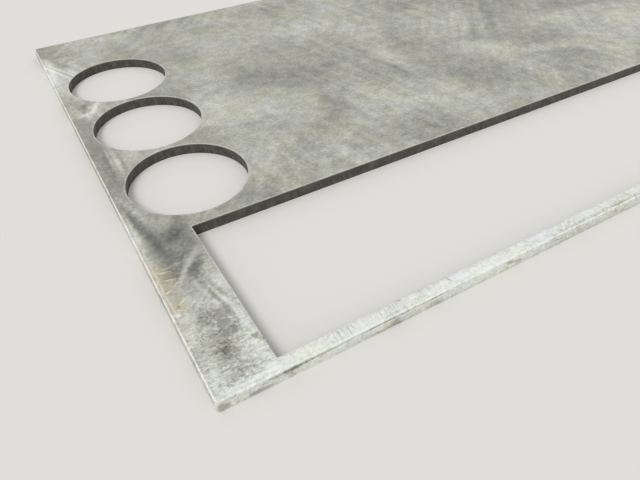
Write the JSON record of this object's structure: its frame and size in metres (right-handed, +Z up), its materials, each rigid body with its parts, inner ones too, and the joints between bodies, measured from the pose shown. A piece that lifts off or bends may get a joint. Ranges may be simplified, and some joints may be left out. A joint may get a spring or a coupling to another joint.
{
  "type": "steel plate",
  "caption": "Thick flat steel plate left over from profile cutting, with a long rectangular window along one edge and a row of large round holes up one side.",
  "frame": {"origin": "centre of the underside of the plate", "axes": "+X along the long edge, +Y across the plate away from the windowed edge, +Z up out of the top face"},
  "size_m": [2, 1, 0.018],
  "materials": {
    "zinc_coated_steel": "weathered galvanised, matt"
  },
  "bodies": {
    "root": {"steel_plate": "zinc_coated_steel"}
  },
  "joints": []
}
